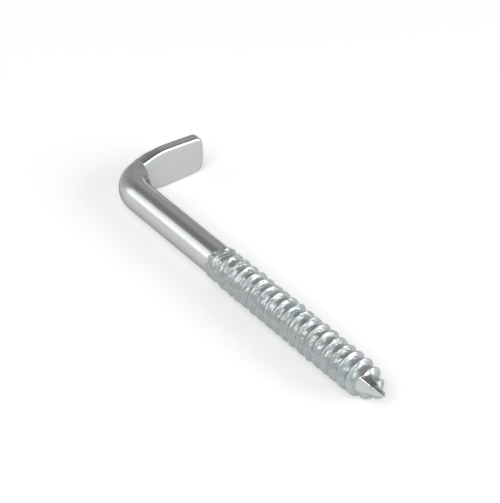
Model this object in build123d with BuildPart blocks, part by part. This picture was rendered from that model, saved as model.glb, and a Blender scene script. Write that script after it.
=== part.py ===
"""L-hook: a round steel bar bent square, its short arm pressed flat, its long arm a wood screw.

The hook lies flat: its screw axis runs along +X towards the point, its arm along +Y, and Z is up.
"""
from build123d import *
from math import atan, degrees
import os

# Bar and bend, in millimetres
shank_diameter = 5.25
shank_length = 68.4
bend_radius = 5.35

# Pressed arm
arm_length = 15.8
press_start = 3.65
press_front_radius = 0.5
press_back_radius = 3.0
blade_root_inset = 0.8
blade_thickness = 2.1
blade_width = 7.0
blade_end_width = 6.3
blade_end_bow = 0.25
blade_edge_radius = 0.45
blade_corner_radius = 0.9

# Wood-screw thread
thread_diameter = 6.0
thread_pitch = 2.0
thread_depth = 0.6
thread_turns = 18
run_in_length = 1.5
point_length = 5.6
point_tip_diameter = 0.4

# Shares that shape the profiles
blade_root_share = 0.7
blade_widest_share = 0.45
die_offset_share = 0.8
groove_floor_share = 0.3
groove_mouth_share = 0.84
groove_over_share = 1.15
point_groove_share = 0.6

# Sizes that follow from the ones above
shank_radius = shank_diameter / 2
thread_radius = thread_diameter / 2
tip_radius = point_tip_diameter / 2
point_start = shank_length - point_length
crest_start = point_start - thread_pitch * thread_turns
thread_start = crest_start - run_in_length
blade_root = press_start - blade_root_inset
blade_root_width = shank_diameter * blade_root_share
blade_widest = press_start + (arm_length - press_start) * blade_widest_share
die_offset = blade_thickness / 2 * die_offset_share
groove_height = thread_depth * groove_over_share
groove_floor = thread_pitch * groove_floor_share
groove_mouth = groove_floor + thread_pitch * (groove_mouth_share - groove_floor_share) * groove_over_share
point_slope = (thread_radius - tip_radius) / point_length
point_groove_radius = thread_radius + point_slope * thread_pitch / 2 - thread_depth

# Blade: the pressed end of the bar, drawn from the front and given its thickness
with BuildPart() as blade:
    with BuildSketch(Plane.YZ) as outline:
        with BuildLine():
            upper = ThreePointArc(
                (blade_root, blade_root_width / 2),
                (blade_widest, blade_width / 2),
                (arm_length - blade_end_bow, blade_end_width / 2),
            )
            lower = mirror(upper, about=Plane.XZ)
            Line(upper @ 0, lower @ 0)
            ThreePointArc(upper @ 1, (arm_length, 0), lower @ 1)
        make_face()
        fillet(outline.vertices().group_by(Axis.X)[-1], radius=blade_corner_radius)
    extrude(amount=blade_thickness / 2, both=True)
    rim = blade.faces().filter_by(Axis.X).edges().group_by(Axis.Y)[1:]
    fillet(ShapeList(edge for group in rim for edge in group), radius=blade_edge_radius)

# Groove profile: flat floor, sloped flanks, carried on past the crests so that it cuts clean
with BuildSketch() as groove_profile:
    with BuildLine():
        Polyline(
            (-groove_floor / 2, 0),
            (groove_floor / 2, 0),
            (groove_mouth / 2, groove_height),
            (-groove_mouth / 2, groove_height),
            close=True,
        )
    make_face()

# Thread: a length at full diameter with the groove wound into it, cut off flat where the point begins
with BuildPart() as thread:
    with BuildSketch(Plane.YZ.offset(crest_start)):
        Circle(thread_radius)
    extrude(amount=thread_pitch * (thread_turns + 2))
    with BuildLine() as helix:
        Helix(
            pitch=thread_pitch,
            height=thread_pitch * thread_turns,
            radius=thread_radius - thread_depth,
            center=(crest_start + thread_pitch / 2, 0, 0),
            direction=(1, 0, 0),
        )
    with BuildSketch(Plane(origin=helix.line @ 0, x_dir=(1, 0, 0), z_dir=helix.line % 0)):
        add(groove_profile.sketch)
    sweep(path=helix.line, is_frenet=True, mode=Mode.SUBTRACT)
    split(bisect_by=Plane.YZ.offset(point_start), keep=Keep.BOTTOM)

# Point: a cone that carries the same groove on and lets it run out before the tip
with BuildPart() as point:
    with BuildSketch(Plane.XZ):
        with BuildLine():
            Polyline(
                (point_start, 0),
                (point_start, thread_radius),
                (shank_length, tip_radius),
                (shank_length, 0),
                close=True,
            )
        make_face()
    revolve(axis=Axis.X)
    with BuildLine() as point_helix:
        Helix(
            pitch=thread_pitch,
            height=thread_pitch + point_length * point_groove_share,
            radius=point_groove_radius,
            center=(point_start - thread_pitch / 2, 0, 0),
            direction=(1, 0, 0),
            cone_angle=-degrees(atan(point_slope)),
        )
    with BuildSketch(Plane(origin=point_helix.line @ 0, x_dir=(1, 0, 0), z_dir=point_helix.line % 0)):
        add(groove_profile.sketch)
    sweep(path=point_helix.line, is_frenet=True, mode=Mode.SUBTRACT)

# The whole hook: the bar is bent, its arm is pressed between two dies, and the worked ends are joined on
with BuildPart() as hook:
    with BuildLine() as bar_path:
        FilletPolyline((thread_start, 0), (0, 0), (0, arm_length - blade_corner_radius), radius=bend_radius)
    with BuildSketch(Plane(origin=bar_path.line @ 0, z_dir=bar_path.line % 0)):
        Circle(shank_radius)
    sweep(path=bar_path.line)

    # Front die: its small corner radius leaves the crescent step at the bend
    with BuildSketch() as front_die:
        with Locations((die_offset, press_start)):
            Rectangle(shank_diameter, arm_length, align=(Align.MIN, Align.MIN))
        fillet(front_die.vertices().group_by(Axis.Y)[0].sort_by(Axis.X)[0], radius=press_front_radius)
    extrude(amount=shank_diameter, both=True, mode=Mode.SUBTRACT)

    # Back die: its large corner radius lets the bend run softly into the blade
    with BuildSketch() as back_die:
        with Locations((-die_offset, press_start)):
            Rectangle(shank_diameter, arm_length, align=(Align.MAX, Align.MIN))
        fillet(back_die.vertices().group_by(Axis.Y)[0].sort_by(Axis.X)[-1], radius=press_back_radius)
    extrude(amount=shank_diameter, both=True, mode=Mode.SUBTRACT)
    add(blade.part)

    # Run-in cone between the plain shank and the first crest
    with BuildSketch(Plane.XZ):
        with BuildLine():
            Polyline(
                (thread_start, 0),
                (thread_start, shank_radius),
                (crest_start, thread_radius),
                (crest_start, 0),
                close=True,
            )
        make_face()
    revolve(axis=Axis.X)
    add(thread.part)
    add(point.part)

# Set the hook down on its blade, centred over the origin
box = hook.part.bounding_box()
hook.part.move(Location((-box.center().X, -box.center().Y, -box.min.Z)))
hook.part.label = "l_hook"

os.makedirs("parts", exist_ok=True)
export_step(hook.part, "parts/l_hook.step")
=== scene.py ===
"""L-hook of bright zinc-plated steel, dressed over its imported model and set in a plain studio."""
import math
import bpy
import numpy as np
from mathutils import Matrix, Vector, noise


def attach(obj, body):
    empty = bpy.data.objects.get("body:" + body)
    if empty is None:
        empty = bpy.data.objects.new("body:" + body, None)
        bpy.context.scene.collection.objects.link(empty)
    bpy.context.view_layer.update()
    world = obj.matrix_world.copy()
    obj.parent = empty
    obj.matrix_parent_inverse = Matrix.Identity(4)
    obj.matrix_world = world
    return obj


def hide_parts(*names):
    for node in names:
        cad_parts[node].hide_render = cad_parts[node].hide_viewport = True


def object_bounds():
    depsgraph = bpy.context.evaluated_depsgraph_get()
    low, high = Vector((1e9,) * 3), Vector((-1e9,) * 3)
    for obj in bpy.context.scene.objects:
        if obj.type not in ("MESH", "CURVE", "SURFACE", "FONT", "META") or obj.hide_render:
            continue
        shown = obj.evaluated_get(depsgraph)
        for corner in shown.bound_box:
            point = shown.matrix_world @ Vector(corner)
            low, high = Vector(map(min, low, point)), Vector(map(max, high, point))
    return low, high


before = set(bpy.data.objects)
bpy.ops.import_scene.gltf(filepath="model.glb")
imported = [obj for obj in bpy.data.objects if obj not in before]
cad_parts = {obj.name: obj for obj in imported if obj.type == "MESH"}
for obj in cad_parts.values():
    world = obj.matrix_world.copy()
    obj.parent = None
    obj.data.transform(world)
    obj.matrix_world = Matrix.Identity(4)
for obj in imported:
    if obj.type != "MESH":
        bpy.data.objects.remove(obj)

cad_low, cad_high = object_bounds()

# Lengths are in millimetres from the crossing of the screw axis and the arm's axis, angles in radians
MM = 0.001

# Bar and bend
SHANK_RADIUS = 2.625
BEND_RADIUS = 5.35
TIP_X = 68.4
ARM_END = 15.8
PIVOT_X = 7.35

# Rolled thread: its helix, its profile, its run-in and the roughness that rolling leaves
PITCH = 2.003
CREST_PHASE = 1.82
TURN_WANDER = 0.04
CREST_RADIUS = 3.0
ROOT_RADIUS = 2.24
CREST_ROUND = 0.08
CREST_SHARE = 0.85
THREAD_X = 27.0
RUN_IN = 6.0
ROOT_HASTE = 1.6
EDGE_INSET = 0.4
EDGE_WANDER = 0.75
BURR_LENGTH = 0.5
BURR_HEIGHT = 0.42
BURR_BIAS = 0.12
WRINKLE = 0.13
FINE_SHARE = 0.6
SWELL = 0.03
ROUGH_LEAD = 0.2
ROUGH_FADE = 0.3
ROUGH_HASTE = 2.5

# Point: a cone under the thread, with two plain faces on its upper side
POINT_LENGTH = 6.2
POINT_SLOPE = 0.53
TIP_RADIUS = 0.05
POINT_ROOT_SHARE = 0.95
POINT_BULK = 2.8
BULK_POWER = 5
PLAIN_SHARE = 0.93
POINT_FACES = (math.radians(95), math.radians(172))
FACE_SPAN = 0.3
FLAT_SHARE = 0.85
POINT_DENTS = 0.1

# Where and how far the point's thread is smeared into those faces
SMEAR_ANGLE = math.radians(140)
SMEAR_REACH = 1.1
SMEAR_FADE = 0.5
SMEAR_START = 0.34
SMEAR_RUN = 0.2
SMEAR_DEPTH = 0.77
BRIGHT_SHARE = 0.95

# Noise on the thread: cells to a millimetre along the bar, cells to a radius across it, and a seed
TURN_NOISE = (0.45, 1.0, 0)
EDGE_NOISE = (0, 2.4, 41)
WRINKLE_NOISE = (3.2, 2.4, 5)
FINE_NOISE = (5.0, 4.6, 31)
SWELL_NOISE = (0.5, 1.5, 9)
BURR_NOISE = (2.2, 4.0, 17)
DENT_NOISE = (0.9, 1.6, 23)

# Crescent step between the bend and the blade
STEP_Y = 3.65
STEP_FOOT = 0.25
STEP_LEAN = 0.05
WALL_SHARE = 0.6
WALL_DROP = 0.78
FRONT_START = -0.1
FRONT_FADE = 0.4
RIM_START = 0.25

# Pressed blade
HALF_THICKNESS = 1.05
BACK_DEPTH = 2.6
BACK_FALL = 3.3
BACK_POWER = 1.5
ROOT_HALF_WIDTH = 2.66
FULL_HALF_WIDTH = 3.64
END_HALF_WIDTH = 3.3
FULL_WIDTH_Y = 8.3
RISE_POWER = 1.15
NARROW_POWER = 1.4
UPPER_CORNER = 1.0
LOWER_CORNER = 1.2
END_EDGE = 0.4
END_BOW = 0.25
END_RINGS = (0.8, 0.55, 0.3, 0.1)
EDGE_POWER = 6.0
ROUND_POWER = 2.0
TURN_SHARE = 0.5
TURN_RUN = 2.0

# Grid: columns round the bar, rows along it
COLUMNS = 112
ROWS_PER_PITCH = 30
SHANK_ROWS = 24
BEND_ROWS = 56
STEP_ROWS = 14
BLADE_ROWS = 46
CORNER_ROWS = 18
OUTLINE_SAMPLES = 241
HALVINGS = 50

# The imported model's place: it has the same tip and arm end, and its middle height is the screw axis
offset = Vector((
    cad_high[0] / MM - TIP_X,
    cad_high[1] / MM - ARM_END,
    (cad_low[2] + cad_high[2]) / 2 / MM,
))
angles = np.arange(COLUMNS) * 2 * np.pi / COLUMNS


def clamp(share):
    """A share kept between 0 and 1."""
    return min(max(share, 0.0), 1.0)


def ease(share):
    """Smooth step from 0 to 1."""
    share = np.clip(share, 0.0, 1.0)
    return share * share * (3 - 2 * share)


def noise_round(x, along, across, seed):
    """Smooth noise round the bar at one station, for every column."""
    places = [Vector((x * along + seed, across * math.cos(a), across * math.sin(a))) for a in angles]
    return np.array([noise.noise(place) for place in places])


# The rolled thread begins along an uneven line round the bar
thread_edge = THREAD_X + EDGE_INSET + EDGE_WANDER * noise_round(0, *EDGE_NOISE)


def taper_share(x):
    """0 where the point begins, 1 at its tip."""
    return clamp((x - TIP_X + POINT_LENGTH) / POINT_LENGTH)


def cone_radius(x):
    """Radius of the cone under the point's thread."""
    return POINT_SLOPE * (TIP_X - x) + TIP_RADIUS


def smear_share(x):
    """How far the point's thread gives way to its two plain faces at one station, for every column."""
    away = np.arccos(np.clip(np.cos(angles - SMEAR_ANGLE), -1, 1))
    along = float(ease((taper_share(x) - SMEAR_START) / SMEAR_RUN + 0.5))
    return ease((SMEAR_REACH - away) / SMEAR_FADE + 0.5) * along


def rolled_radius(x):
    """Radius of the rolled thread at one station, for every column."""
    turn = (x - CREST_PHASE) / PITCH - angles / (2 * np.pi) + TURN_WANDER * noise_round(x, *TURN_NOISE)
    off_crest = np.abs(turn - np.round(turn)) * 2
    rounded = np.sqrt(off_crest ** 2 + CREST_ROUND ** 2) - CREST_ROUND
    groove = np.sin(np.pi / 2 * np.clip(rounded / CREST_SHARE, 0, 1))
    run = min((x - THREAD_X) / RUN_IN, 1.0)
    taper = taper_share(x)
    crest = SHANK_RADIUS + (CREST_RADIUS - SHANK_RADIUS) * math.sqrt(run)
    crest = crest * (1 - taper ** 2)
    root = SHANK_RADIUS + (ROOT_RADIUS - SHANK_RADIUS) * float(ease(run * ROOT_HASTE))
    root = min(root, cone_radius(x) * POINT_ROOT_SHARE, crest)

    # Rolling leaves wrinkles all over the thread and a burr where it begins
    wrinkle = noise_round(x, *WRINKLE_NOISE) + FINE_SHARE * noise_round(x, *FINE_NOISE)
    swell = noise_round(x, *SWELL_NOISE)
    burr = np.exp(-((x - thread_edge - BURR_LENGTH) / BURR_LENGTH) ** 2)
    burr = burr * (BURR_BIAS + noise_round(x, *BURR_NOISE))
    rough = ease((x - thread_edge + ROUGH_LEAD) / ROUGH_FADE) * (1 - float(ease(taper * ROUGH_HASTE)))
    relief = WRINKLE * wrinkle + SWELL * swell + BURR_HEIGHT * burr
    return crest + (root - crest) * groove + rough * relief


def plain_radius(x):
    """Radius of the point's two plain faces, which meet in a ridge, at one station, for every column."""
    cone = cone_radius(x)
    blunt = POINT_BULK * cone / (POINT_BULK ** BULK_POWER + cone ** BULK_POWER) ** (1 / BULK_POWER)
    within = np.clip(angles, POINT_FACES[0] - FACE_SPAN, POINT_FACES[1] + FACE_SPAN)
    flat = 1 / np.max([np.cos(within - face) for face in POINT_FACES], axis=0)
    dents = 1 + POINT_DENTS * noise_round(x, *DENT_NOISE)
    return PLAIN_SHARE * blunt * (1 - FLAT_SHARE + FLAT_SHARE * flat) * dents


def bar_radius(x):
    """Radius of the long arm at one station, plain or threaded, for every column."""
    if x < THREAD_X:
        return np.full(COLUMNS, SHANK_RADIUS)
    smear = SMEAR_DEPTH * smear_share(x)
    radius = rolled_radius(x) * (1 - smear) + plain_radius(x) * smear
    return np.maximum(radius, TIP_RADIUS)


def half_width(y):
    """Half of the blade's width along the arm."""
    rise = math.sin(math.pi / 2 * clamp((y - STEP_Y) / (FULL_WIDTH_Y - STEP_Y))) ** RISE_POWER
    fall = clamp((y - FULL_WIDTH_Y) / (ARM_END - FULL_WIDTH_Y)) ** NARROW_POWER
    widened = ROOT_HALF_WIDTH + (FULL_HALF_WIDTH - ROOT_HALF_WIDTH) * rise
    return widened - (FULL_HALF_WIDTH - END_HALF_WIDTH) * fall


def corner_cut(y, radius):
    """How far a rounded end corner has drawn in at this station."""
    share = clamp((y - ARM_END + radius) / radius)
    return radius * (1 - math.sqrt(1 - share * share))


def outline(front, back, upper, lower, back_power, turn_share):
    """A pressed section: four superellipse quarters, with columns gathered where it turns."""
    sweep = np.linspace(0, np.pi / 2, OUTLINE_SAMPLES)
    place = np.arange(COLUMNS // 4) / (COLUMNS // 4)
    quarters = []
    for side_x, side_z, depth, width, power in (
        (1, 1, front, upper, EDGE_POWER),
        (-1, 1, back, upper, back_power),
        (-1, -1, back, lower, back_power),
        (1, -1, front, lower, EDGE_POWER),
    ):
        reach = (np.cos(sweep) ** power + np.sin(sweep) ** power) ** (-1 / power)
        x = side_x * depth * reach * np.cos(sweep)
        z = side_z * width * reach * np.sin(sweep)
        if side_x * side_z < 0:
            x = x[::-1]
            z = z[::-1]
        run = np.hypot(np.diff(x), np.diff(z))
        turn = np.abs(np.gradient(np.unwrap(np.arctan2(np.diff(z), np.diff(x)))))
        weight = (1 - turn_share) * run / run.sum() + turn_share * turn / turn.sum()
        total = np.concatenate([[0], np.cumsum(weight)])
        total = total / total[-1]
        quarters.append(np.stack([np.interp(place, total, x), np.interp(place, total, z)], -1))
    return np.concatenate(quarters)


def blade_section(y):
    """The arm's section at one station: flat in front, falling from round to flat behind."""
    width = half_width(y)
    fall = float(ease((y - STEP_Y) / BACK_FALL))
    back = BACK_DEPTH + (HALF_THICKNESS - BACK_DEPTH) * fall
    power = ROUND_POWER + (EDGE_POWER - ROUND_POWER) * fall ** BACK_POWER
    thin = corner_cut(y, END_EDGE)
    upper = width - corner_cut(y, UPPER_CORNER)
    lower = width - corner_cut(y, LOWER_CORNER)
    turn_share = TURN_SHARE * float(ease((y - STEP_Y - STEP_FOOT) / TURN_RUN))
    return outline(HALF_THICKNESS - thin, back - thin, upper, lower, power, turn_share)


def inside_of_path(x, y):
    """Signed distance from the bar's centre line, positive towards the inside of the bend."""
    bend = BEND_RADIUS - np.hypot(x - BEND_RADIUS, y - BEND_RADIUS)
    return np.where(x >= BEND_RADIUS, y, np.where(y >= BEND_RADIUS, x, bend))


def bend_row(angle):
    """The bar cut by a plane through a pivot inside the bend; the last row lies in the step's plane."""
    wanted = SHANK_RADIUS * np.cos(angles)
    near = np.zeros(COLUMNS)
    far = np.full(COLUMNS, TIP_X)
    for _ in range(HALVINGS):
        halfway = (near + far) / 2
        x = PIVOT_X - halfway * math.sin(angle)
        y = STEP_Y - halfway * math.cos(angle)
        past = inside_of_path(x, y) < wanted
        far = np.where(past, halfway, far)
        near = np.where(past, near, halfway)
    x = PIVOT_X - near * math.sin(angle)
    y = STEP_Y - near * math.cos(angle)
    return np.stack([x, y, SHANK_RADIUS * np.sin(angles)], -1)


def long_arm_rows():
    """Rows from the tip along the thread and the plain shank, and how many of them are for the thread."""
    plain_x = THREAD_X - PITCH / ROWS_PER_PITCH
    thread_rows = round((TIP_X - plain_x) / PITCH * ROWS_PER_PITCH) + 1
    stations = list(np.linspace(TIP_X, plain_x, thread_rows))
    stations += list(np.linspace(plain_x, PIVOT_X, SHANK_ROWS + 1)[1:])
    rows = []
    for x in stations:
        radius = bar_radius(x)
        rows.append(np.stack([np.full(COLUMNS, x), radius * np.cos(angles), radius * np.sin(angles)], -1))
    return rows, thread_rows


def step_rows(rim):
    """Rows of the step: a wall from the rim to the blade's front face, ending in a small foot radius."""
    foot = blade_section(STEP_Y + STEP_FOOT)
    in_front = ease((np.cos(angles) - FRONT_START) / FRONT_FADE)
    rows = []
    for share in np.linspace(0, 1, STEP_ROWS + 1)[1:]:
        wall = min(share / WALL_SHARE, 1)
        curl = math.pi / 2 * max(share - WALL_SHARE, 0) / (1 - WALL_SHARE)
        drop = WALL_DROP * wall + (1 - WALL_DROP) * math.sin(curl)
        rise = STEP_LEAN * wall + (STEP_FOOT - STEP_LEAN) * (1 - math.cos(curl))
        blend = (in_front * drop + (1 - in_front) * rise / STEP_FOOT)[:, None]
        section = rim[:, [0, 2]] * (1 - blend) + foot * blend
        rows.append(np.stack([section[:, 0], np.full(COLUMNS, STEP_Y + rise), section[:, 1]], -1))
    return rows


def blade_rows():
    """Rows of the blade up to its rounded end, and the shrinking rings that close the end."""
    corner_y = ARM_END - LOWER_CORNER
    stations = list(np.linspace(STEP_Y + STEP_FOOT, corner_y, BLADE_ROWS + 1)[1:])
    stations += list(corner_y + LOWER_CORNER * np.sin(np.linspace(0, np.pi / 2, CORNER_ROWS + 1)[1:]))
    rows = []
    for y in stations:
        section = blade_section(y)
        bow = END_BOW * float(ease((y - FULL_WIDTH_Y) / (ARM_END - FULL_WIDTH_Y)))
        bowed = y - bow * (section[:, 1] / END_HALF_WIDTH) ** 2
        rows.append(np.stack([section[:, 0], bowed, section[:, 1]], -1))
    end = rows[-1]
    middle = end.mean(axis=0)
    for share in END_RINGS:
        ring = middle + (end - middle) * share
        ring[:, 1] = ARM_END - END_BOW * (ring[:, 2] / END_HALF_WIDTH) ** 2
        rows.append(ring)
    return rows


def finishes(rows, thread_rows, face_count):
    """Material of every face: 1 on the thread, 0 on the bar, the blade and the point's plain faces."""
    finish = np.zeros(face_count, dtype=np.int32)
    bright = smear_share(TIP_X) > BRIGHT_SHARE
    bright_x = TIP_X - POINT_LENGTH * (1 - SMEAR_START)
    for k in range(thread_rows):
        x = rows[k, 0, 0]
        finish[k * COLUMNS: (k + 1) * COLUMNS] = (x > thread_edge) & ~(bright & (x > bright_x))
    return finish


def keep_rim_crisp(mesh, rim_row):
    """Mark the step's rim as a sharp edge, on the blade's front side."""
    ends = np.zeros(len(mesh.edges) * 2, dtype=np.int32)
    mesh.edges.foreach_get("vertices", ends)
    ends = ends.reshape(-1, 2)
    on_rim = (ends // COLUMNS == rim_row) & (np.cos(angles)[ends % COLUMNS] > RIM_START)
    crisp = mesh.attributes.new("sharp_edge", "BOOLEAN", "EDGE")
    crisp.data.foreach_set("value", on_rim.all(axis=1))


def hook_mesh():
    """One closed mesh from the tip to the end of the blade, with a fan at each end."""
    rows, thread_rows = long_arm_rows()
    rows += [bend_row(math.pi / 2 * share) for share in np.linspace(0, 1, BEND_ROWS + 1)[1:]]
    rim_row = len(rows) - 1
    rows += step_rows(rows[rim_row])
    rows += blade_rows()
    rows = np.array(rows)
    count = len(rows)
    centres = np.stack([rows[0].mean(axis=0), rows[-1].mean(axis=0)])
    points = (np.concatenate([rows.reshape(-1, 3), centres]) + np.array(offset)) * MM
    row, column = np.meshgrid(np.arange(count - 1), np.arange(COLUMNS), indexing="ij")
    here = row * COLUMNS
    there = here + COLUMNS
    after = (column + 1) % COLUMNS
    quads = np.stack([here + column, here + after, there + after, there + column], -1)
    faces = quads.reshape(-1, 4).tolist()
    tip = count * COLUMNS
    last = (count - 1) * COLUMNS
    for k in range(COLUMNS):
        other = (k + 1) % COLUMNS
        faces.append((other, k, tip))
        faces.append((last + k, last + other, tip + 1))
    mesh = bpy.data.meshes.new("l_hook_steel")
    mesh.from_pydata(points.tolist(), [], faces)
    mesh.polygons.foreach_set("use_smooth", np.ones(len(faces), dtype=bool))
    mesh.polygons.foreach_set("material_index", finishes(rows, thread_rows, len(faces)))
    mesh.update()
    keep_rim_crisp(mesh, rim_row)
    return mesh


def steel(name, colour, metallic, mottling, stretch, roughness, bump_depth):
    """Bright zinc plating: metal with a mottled tint, a streaky gloss and a fine unevenness."""
    material = bpy.data.materials.new(name)
    material.use_nodes = True
    nodes = material.node_tree.nodes
    links = material.node_tree.links
    shader = nodes["Principled BSDF"]
    shader.inputs["Metallic"].default_value = metallic
    shader.inputs["Specular Tint"].default_value = (0.5, 0.5, 0.5, 1)
    place = nodes.new("ShaderNodeTexCoord")

    # Streaks set the gloss and the unevenness
    mapping = nodes.new("ShaderNodeMapping")
    mapping.inputs["Scale"].default_value = stretch
    links.new(place.outputs["Object"], mapping.inputs["Vector"])
    streaks = nodes.new("ShaderNodeTexNoise")
    streaks.inputs["Scale"].default_value = 1.0
    streaks.inputs["Detail"].default_value = 6.0
    streaks.inputs["Roughness"].default_value = 0.6
    links.new(mapping.outputs["Vector"], streaks.inputs["Vector"])
    gloss = nodes.new("ShaderNodeMapRange")
    gloss.inputs["From Min"].default_value = 0.3
    gloss.inputs["From Max"].default_value = 0.7
    gloss.inputs["To Min"].default_value = roughness[0]
    gloss.inputs["To Max"].default_value = roughness[1]
    links.new(streaks.outputs["Fac"], gloss.inputs["Value"])
    links.new(gloss.outputs["Result"], shader.inputs["Roughness"])
    bump = nodes.new("ShaderNodeBump")
    bump.inputs["Distance"].default_value = bump_depth
    bump.inputs["Strength"].default_value = 1.0
    links.new(streaks.outputs["Fac"], bump.inputs["Height"])
    links.new(bump.outputs["Normal"], shader.inputs["Normal"])

    # A mottle shifts the tint a little to both sides of the colour
    mottle = nodes.new("ShaderNodeTexNoise")
    mottle.inputs["Scale"].default_value = 420.0
    mottle.inputs["Detail"].default_value = 3.0
    links.new(place.outputs["Object"], mottle.inputs["Vector"])
    red, green, blue = colour
    tint = nodes.new("ShaderNodeValToRGB")
    cool, warm = tint.color_ramp.elements
    cool.position = 0.3
    cool.color = (red * (1 - mottling), green, blue, 1)
    warm.position = 0.7
    warm.color = (red * (1 + mottling), green, blue * (1 + mottling), 1)
    between = tint.color_ramp.elements.new(0.5)
    between.color = (red, green, blue * (1 - mottling / 2), 1)
    links.new(mottle.outputs["Fac"], tint.inputs["Fac"])
    links.new(tint.outputs["Color"], shader.inputs["Base Color"])
    return material


# The hook itself: the bright bar is its first material, the duller thread its second
mesh = hook_mesh()
mesh.materials.append(steel(
    "zinc_bar",
    colour=(0.54, 0.55, 0.55),
    metallic=1.0,
    mottling=0.04,
    stretch=(300, 2400, 2400),
    roughness=(0.19, 0.27),
    bump_depth=0.000002,
))
mesh.materials.append(steel(
    "zinc_thread",
    colour=(0.42, 0.45, 0.458),
    metallic=0.68,
    mottling=0.06,
    stretch=(2600, 1000, 1000),
    roughness=(0.27, 0.38),
    bump_depth=0.0001,
))
hook = bpy.data.objects.new("hook_steel", mesh)
bpy.context.scene.collection.objects.link(hook)
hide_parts("l_hook")
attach(hook, "root")

# Studio, in metres and watts
FLOOR_HALF_SIDE = 3.0
FLOOR_COLOUR = (0.88, 0.88, 0.88, 1)
FLOOR_LIFT = 0.17
SKY_LEVELS = ((0.25, 0.56), (0.45, 0.55), (0.62, 0.54), (0.75, 0.36), (0.86, 0.22))
HORIZON_LEVEL = 0.58
ZENITH_LEVEL = 0.18


def shows_backdrop(nodes, links):
    """1 for rays from the camera, from gloss and through glass, so that these see the pale backdrop."""
    path = nodes.new("ShaderNodeLightPath")
    first = nodes.new("ShaderNodeMath")
    first.operation = "MAXIMUM"
    links.new(path.outputs["Is Camera Ray"], first.inputs[0])
    links.new(path.outputs["Is Glossy Ray"], first.inputs[1])
    second = nodes.new("ShaderNodeMath")
    second.operation = "MAXIMUM"
    links.new(first.outputs[0], second.inputs[0])
    links.new(path.outputs["Is Transmission Ray"], second.inputs[1])
    return second.outputs[0]


def floor_paint():
    """Pale paint that keeps the hook's shadow, lifted to white for the camera and in reflections."""
    paint = bpy.data.materials.new("pale_floor")
    paint.use_nodes = True
    nodes = paint.node_tree.nodes
    links = paint.node_tree.links
    nodes.clear()
    diffuse = nodes.new("ShaderNodeBsdfDiffuse")
    diffuse.inputs["Color"].default_value = FLOOR_COLOUR
    shine = nodes.new("ShaderNodeEmission")
    shine.inputs["Color"].default_value = (1, 1, 1, 1)
    lift = nodes.new("ShaderNodeMath")
    lift.operation = "MULTIPLY"
    lift.inputs[1].default_value = FLOOR_LIFT
    links.new(shows_backdrop(nodes, links), lift.inputs[0])
    links.new(lift.outputs[0], shine.inputs["Strength"])
    both = nodes.new("ShaderNodeAddShader")
    links.new(diffuse.outputs[0], both.inputs[0])
    links.new(shine.outputs[0], both.inputs[1])
    out = nodes.new("ShaderNodeOutputMaterial")
    links.new(both.outputs[0], out.inputs["Surface"])
    return paint


def patch(nodes, links, direction, edge, core, outside, inside):
    """A soft round patch of the surroundings: one value inside it, another outside."""
    place = nodes.new("ShaderNodeTexCoord")
    toward = nodes.new("ShaderNodeVectorMath")
    toward.operation = "DOT_PRODUCT"
    toward.inputs[1].default_value = direction
    links.new(place.outputs["Generated"], toward.inputs[0])
    value = nodes.new("ShaderNodeMapRange")
    value.interpolation_type = "SMOOTHSTEP"
    value.inputs["From Min"].default_value = edge
    value.inputs["From Max"].default_value = core
    value.inputs["To Min"].default_value = outside
    value.inputs["To Max"].default_value = inside
    links.new(toward.outputs["Value"], value.inputs["Value"])
    return value.outputs["Result"]


def studio_world():
    """A plain room, pale towards the floor and dim overhead, with two dimmer patches and a brighter one."""
    world = bpy.data.worlds.new("studio")
    world.use_nodes = True
    nodes = world.node_tree.nodes
    links = world.node_tree.links
    nodes.clear()
    place = nodes.new("ShaderNodeTexCoord")
    split = nodes.new("ShaderNodeSeparateXYZ")
    links.new(place.outputs["Generated"], split.inputs[0])
    sky = nodes.new("ShaderNodeValToRGB")
    horizon, zenith = sky.color_ramp.elements
    horizon.position = 0.0
    horizon.color = (HORIZON_LEVEL, HORIZON_LEVEL, HORIZON_LEVEL, 1)
    zenith.position = 1.0
    zenith.color = (ZENITH_LEVEL, ZENITH_LEVEL, ZENITH_LEVEL, 1)
    for height, level in SKY_LEVELS:
        band = sky.color_ramp.elements.new(height)
        band.color = (level, level, level, 1)
    links.new(split.outputs["Z"], sky.inputs["Fac"])
    dimming = nodes.new("ShaderNodeMath")
    dimming.operation = "MULTIPLY"
    links.new(patch(nodes, links, (-0.73, 0.0, 0.68), 0.9, 0.975, 1.0, 0.75), dimming.inputs[0])
    links.new(patch(nodes, links, (0.31, -0.94, 0.12), 0.8, 0.95, 1.0, 0.2), dimming.inputs[1])
    room = nodes.new("ShaderNodeBackground")
    links.new(sky.outputs["Color"], room.inputs["Color"])
    links.new(dimming.outputs[0], room.inputs["Strength"])
    spill = nodes.new("ShaderNodeBackground")
    spill.inputs["Color"].default_value = (0.8, 0.8, 0.8, 1)
    links.new(patch(nodes, links, (-0.68, -0.72, 0.12), 0.88, 0.99, 0.0, 0.6), spill.inputs["Strength"])
    both = nodes.new("ShaderNodeAddShader")
    links.new(room.outputs[0], both.inputs[0])
    links.new(spill.outputs[0], both.inputs[1])
    out = nodes.new("ShaderNodeOutputWorld")
    links.new(both.outputs[0], out.inputs["Surface"])
    return world


def softbox(name, direction, distance, width, height, watts):
    """A rectangular lamp that faces the hook."""
    lamp = bpy.data.lights.new(name, "AREA")
    lamp.shape = "RECTANGLE"
    lamp.size = width
    lamp.size_y = height
    lamp.energy = watts
    thing = bpy.data.objects.new(name, lamp)
    aim = Vector(direction).normalized()
    thing.location = aim * distance
    thing.rotation_euler = aim.to_track_quat("Z", "Y").to_euler()
    bpy.context.scene.collection.objects.link(thing)


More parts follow.
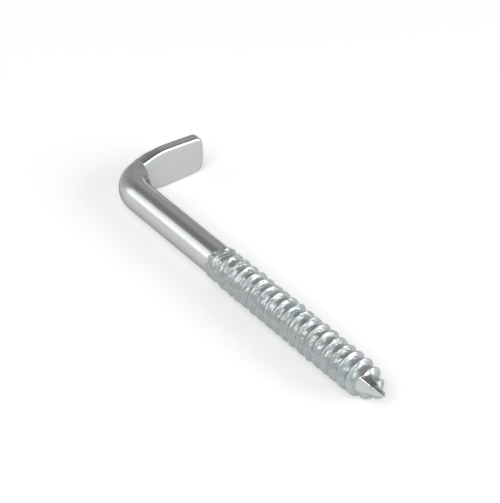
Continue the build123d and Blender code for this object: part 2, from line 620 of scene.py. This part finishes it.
# Floor, room and lamps
floor_mesh = bpy.data.meshes.new("floor")
floor_corners = [
    (-FLOOR_HALF_SIDE, -FLOOR_HALF_SIDE, 0),
    (FLOOR_HALF_SIDE, -FLOOR_HALF_SIDE, 0),
    (FLOOR_HALF_SIDE, FLOOR_HALF_SIDE, 0),
    (-FLOOR_HALF_SIDE, FLOOR_HALF_SIDE, 0),
]
floor_mesh.from_pydata(floor_corners, [], [(0, 1, 2, 3)])
floor_mesh.materials.append(floor_paint())
floor = bpy.data.objects.new("floor", floor_mesh)
bpy.context.scene.collection.objects.link(floor)
bpy.context.scene.world = studio_world()
softbox("left", direction=(-0.6, -0.61, 0.525), distance=0.5, width=0.29, height=0.31, watts=0.31)
softbox("right", direction=(0.79, 0.515, 0.335), distance=0.6, width=0.54, height=0.4, watts=2.5)
softbox("front", direction=(0.38, -0.57, 0.725), distance=0.8, width=0.64, height=0.6, watts=4.0)

# Camera: the photograph's, fitted to its outline of the hook, in pixels, degrees and millimetres
IMAGE_WIDTH = 500
IMAGE_HEIGHT = 503
FOCAL_PIXELS = 2251.3
AZIMUTH = 53.643
ELEVATION = 36.207
ROLL = -0.101
CROSSING_PIXEL = (121.964, 182.369)
DISTANCE = 370.43
azimuth = math.radians(AZIMUTH)
elevation = math.radians(ELEVATION)
roll = math.radians(ROLL)
back = Vector((
    math.sin(azimuth) * math.cos(elevation),
    -math.cos(azimuth) * math.cos(elevation),
    math.sin(elevation),
))
sideways = Vector((math.cos(azimuth), math.sin(azimuth), 0))
above = back.cross(sideways)
right = math.cos(roll) * sideways + math.sin(roll) * above
up = math.cos(roll) * above - math.sin(roll) * sideways
across = (CROSSING_PIXEL[0] - IMAGE_WIDTH / 2) / FOCAL_PIXELS * DISTANCE
along = (IMAGE_HEIGHT / 2 - CROSSING_PIXEL[1]) / FOCAL_PIXELS * DISTANCE
lens = bpy.data.cameras.new("camera")
lens.sensor_fit = "HORIZONTAL"
lens.sensor_width = 36.0
lens.lens = FOCAL_PIXELS * lens.sensor_width / IMAGE_WIDTH
lens.clip_start = 0.01
camera = bpy.data.objects.new("camera", lens)
camera.matrix_world = Matrix((right, up, back)).transposed().to_4x4()
camera.location = (back * DISTANCE - right * across - up * along + offset) * MM
bpy.context.scene.collection.objects.link(camera)
bpy.context.scene.camera = camera
bpy.context.scene.view_settings.view_transform = "Standard"
